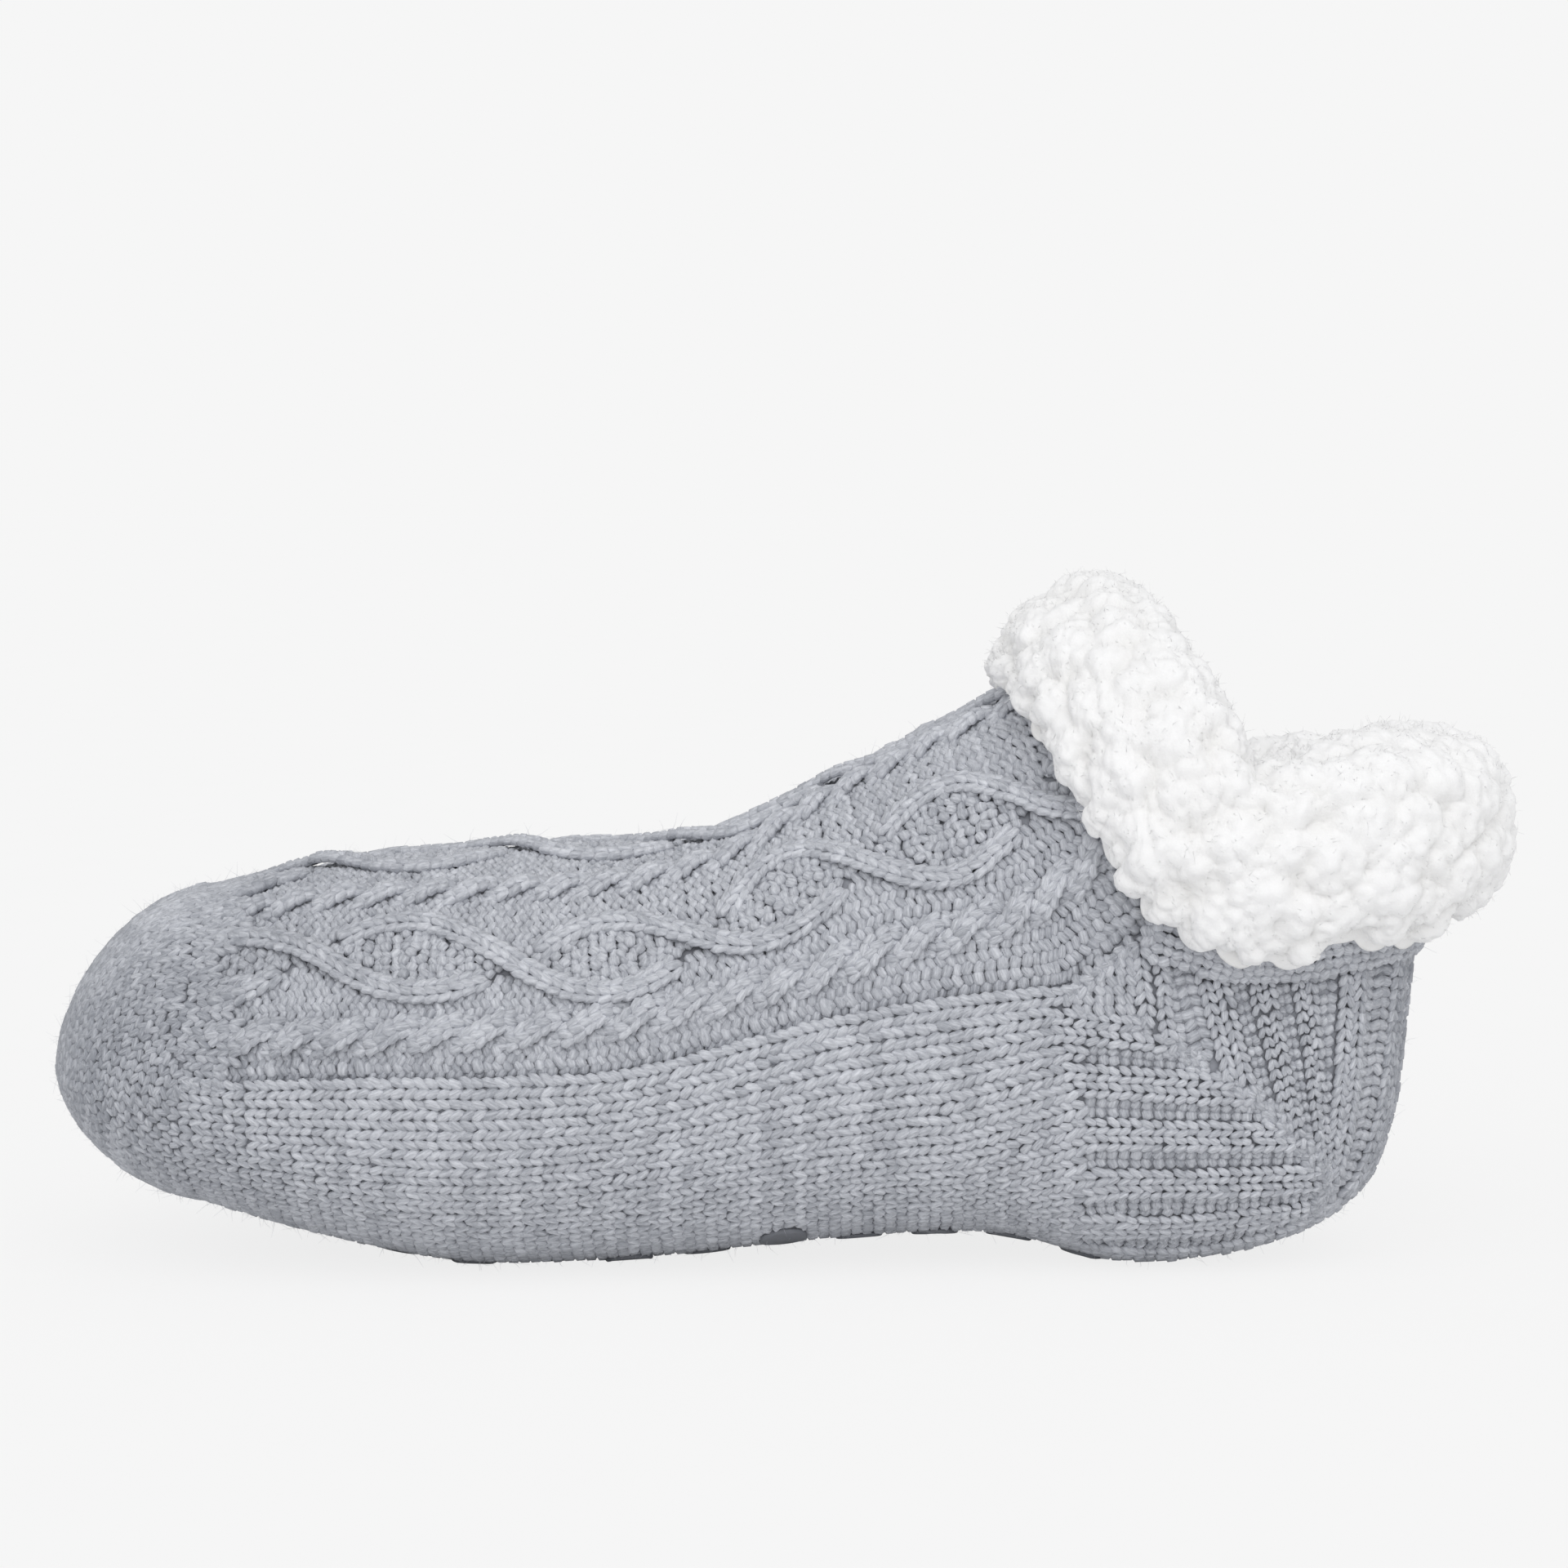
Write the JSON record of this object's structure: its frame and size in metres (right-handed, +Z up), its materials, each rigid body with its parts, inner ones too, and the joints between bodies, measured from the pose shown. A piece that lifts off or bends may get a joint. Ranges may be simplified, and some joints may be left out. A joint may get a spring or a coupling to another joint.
{
  "type": "slipper sock",
  "caption": "Cable-knit slipper sock in grey marl with a turned-down white fleece cuff and grip dots under the sole, hollow and open at the collar.",
  "frame": {"origin": "middle of the sock's length and width, on the floor that it stands on", "axes": "+X to the toe, +Y to the side shown in the picture, +Z up"},
  "size_m": [0.275, 0.0996, 0.1289],
  "materials": {
    "knit": "matt marl yarn, cable and plain knit, lightly brushed",
    "fleece": "matt white sherpa pile in small tufts",
    "grip": "satin soft grip compound"
  },
  "bodies": {
    "root": {"knit_body": "knit", "knit_hem": "knit", "sherpa_cuff": "fleece", "grip_dot_01": "grip", "grip_dot_02": "grip", "grip_dot_03": "grip", "grip_dot_04": "grip", "grip_dot_05": "grip", "grip_dot_06": "grip", "grip_dot_07": "grip", "grip_dot_08": "grip", "grip_dot_09": "grip", "grip_dot_10": "grip", "grip_dot_11": "grip", "grip_dot_12": "grip", "grip_dot_13": "grip", "grip_dot_14": "grip", "grip_dot_15": "grip", "grip_dot_16": "grip", "grip_dot_17": "grip", "grip_dot_18": "grip", "grip_dot_19": "grip", "grip_dot_20": "grip", "grip_dot_21": "grip", "grip_dot_22": "grip", "grip_dot_23": "grip", "grip_dot_24": "grip", "grip_dot_25": "grip", "grip_dot_26": "grip", "grip_dot_27": "grip"}
  },
  "joints": []
}
